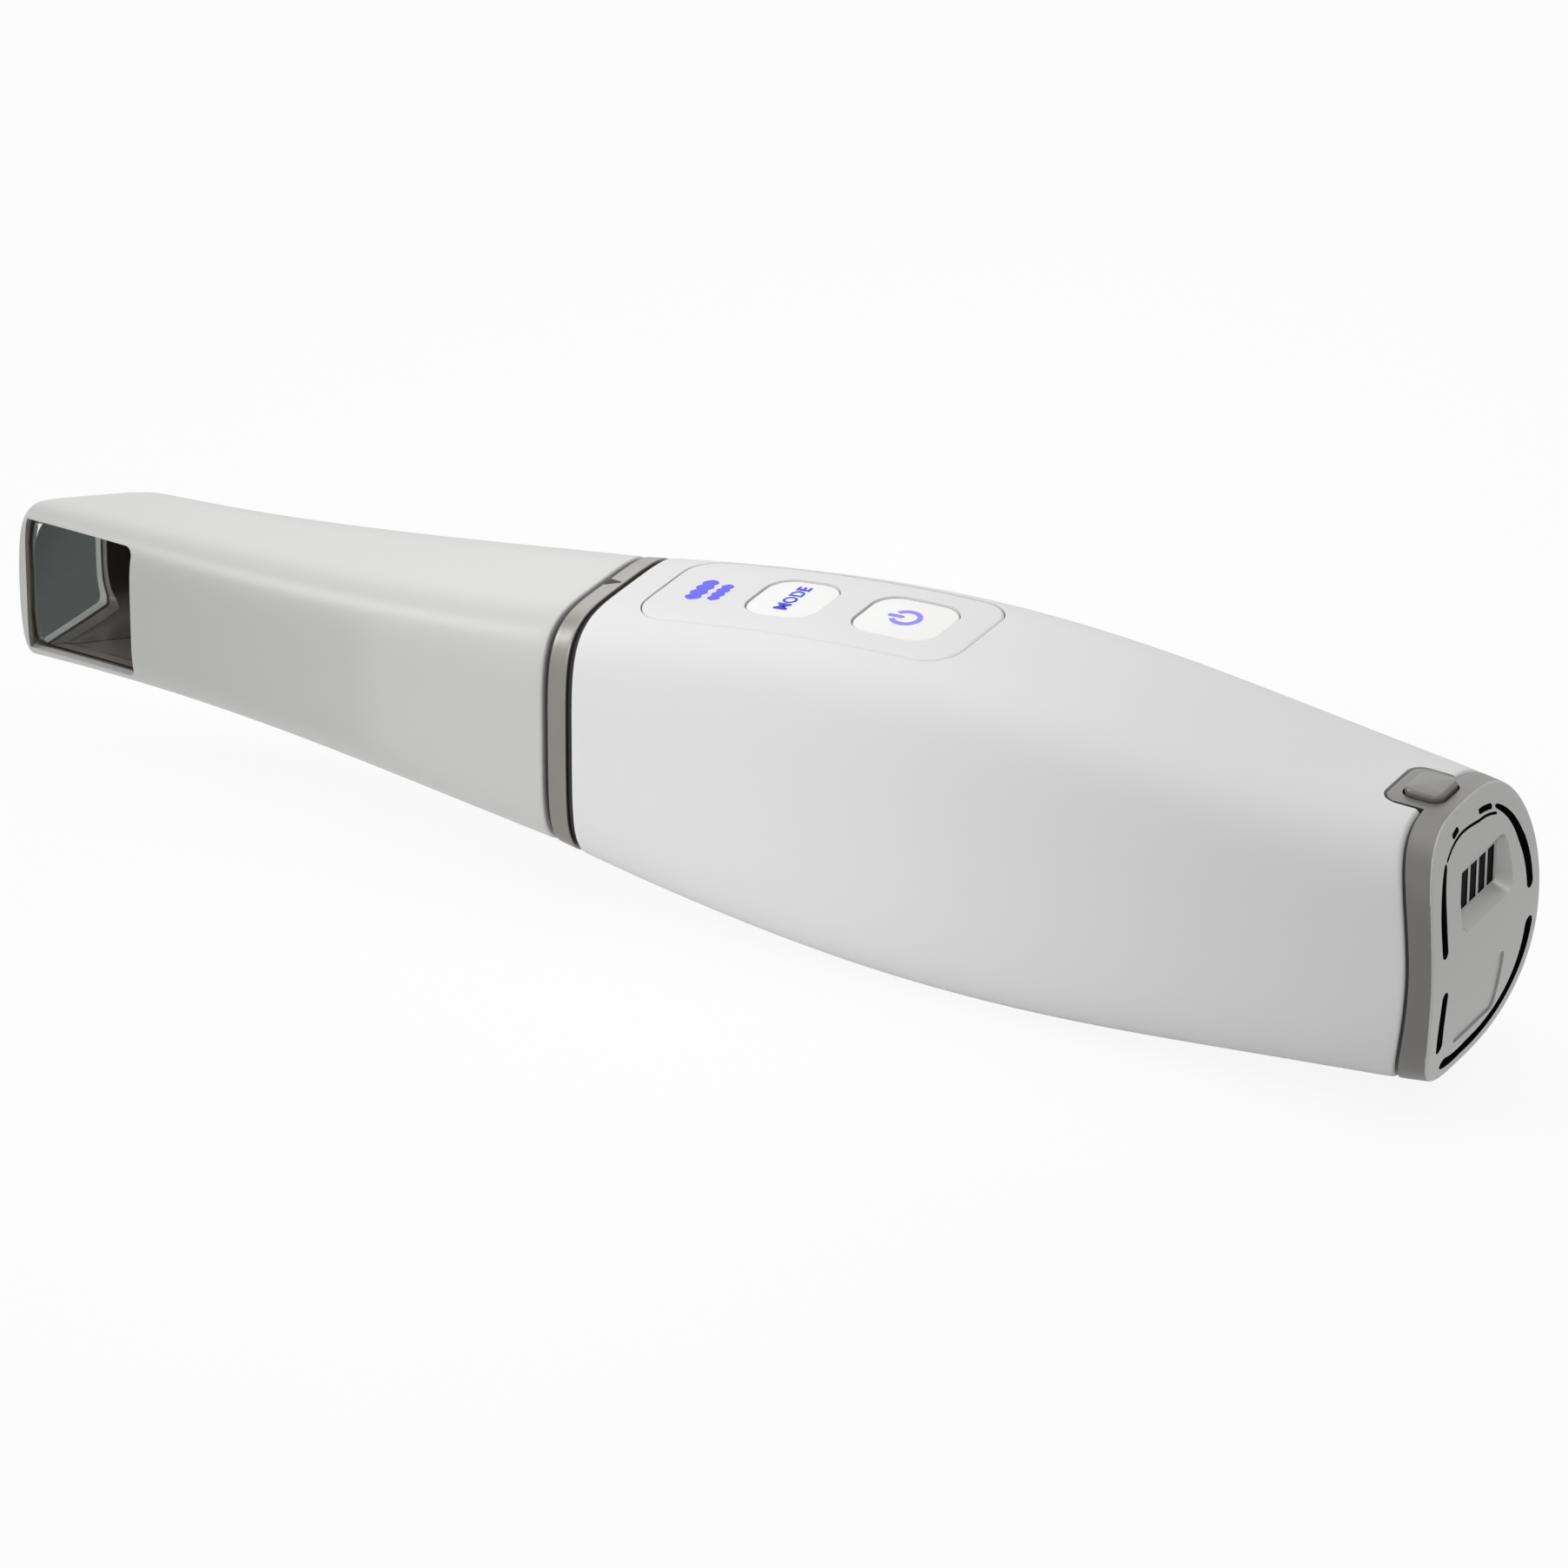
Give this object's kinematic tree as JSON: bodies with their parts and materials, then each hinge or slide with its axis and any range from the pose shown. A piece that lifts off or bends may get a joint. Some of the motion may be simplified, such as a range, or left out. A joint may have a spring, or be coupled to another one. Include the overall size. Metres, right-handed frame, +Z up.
{
  "type": "intraoral scanner",
  "caption": "Cordless handheld intraoral scanner with a removable side-looking mirror tip, flush keys on a top panel and a latched slide-out battery behind a domed end cap.",
  "frame": {"origin": "middle of the length and width, on the surface that the belly rests on", "axes": "+X from the tip to the end cap, +Z up through the keys, -Y the side that the tip window faces"},
  "size_m": [0.228, 0.0356, 0.0488],
  "materials": {
    "white_plastic": "satin moulded plastic",
    "panel_plastic": "satin moulded plastic",
    "key_plastic": "satin moulded plastic",
    "collar_metal": "satin anodised",
    "seal_rubber": "matt",
    "black_plastic": "satin",
    "clear_glass": "polished",
    "light_plastic": "translucent",
    "board_green": "solder mask",
    "switch_plastic": "plain",
    "chassis_metal": "machined",
    "screw_steel": "plain",
    "module_black": "anodised",
    "contact_brass": "gold plated",
    "cap_grey": "satin metallic grey",
    "battery_plastic": "fine texture",
    "gauge_dark": "smoked",
    "mirror_glass": "front silvered"
  },
  "bodies": {
    "handle": {"handle_shell": "white_plastic", "control_panel": "panel_plastic", "front_collar": "collar_metal", "collar_front_seal": "seal_rubber", "collar_rear_seal": "seal_rubber", "optics_spigot": "black_plastic", "front_glass": "clear_glass", "status_light_guide": "light_plastic", "keypad_board": "board_green", "key_switches": "switch_plastic", "optics_chassis": "chassis_metal", "main_board": "board_green", "board_screws": "screw_steel", "radio_module": "screw_steel", "camera_module": "module_black", "camera_lens": "clear_glass", "projector_module": "module_black", "projector_lens": "clear_glass", "battery_bay": "black_plastic", "contact_block": "black_plastic", "contact_pins": "contact_brass"},
    "tip": {"tip_shell": "white_plastic", "tip_mirror": "mirror_glass", "tip_lining": "black_plastic"},
    "mode_key": {"mode_button": "key_plastic"},
    "power_key": {"power_button": "key_plastic"},
    "battery": {"end_cap": "cap_grey", "cap_seal": "seal_rubber", "battery_case": "battery_plastic", "battery_terminals": "contact_brass", "gauge_windows": "gauge_dark", "release_spring": "screw_steel"},
    "release": {"release_button": "cap_grey"}
  },
  "joints": [
    {"name": "tip_slide", "type": "slide", "parent": "handle", "child": "tip", "axis": [-1, 0, 0], "range_m": [0, 0.046]},
    {"name": "battery_slide", "type": "slide", "parent": "handle", "child": "battery", "axis": [1, 0, 0], "range_m": [0, 0.064]},
    {"name": "mode_press", "type": "slide", "parent": "handle", "child": "mode_key", "axis": [0, 0, -1], "range_m": [0, 0.0005], "stiffness_N_per_m": 800},
    {"name": "power_press", "type": "slide", "parent": "handle", "child": "power_key", "axis": [0, 0, -1], "range_m": [0, 0.0005], "stiffness_N_per_m": 800},
    {"name": "release_press", "type": "slide", "parent": "battery", "child": "release", "axis": [0, 0, -1], "range_m": [0, 0.0008], "stiffness_N_per_m": 800}
  ]
}
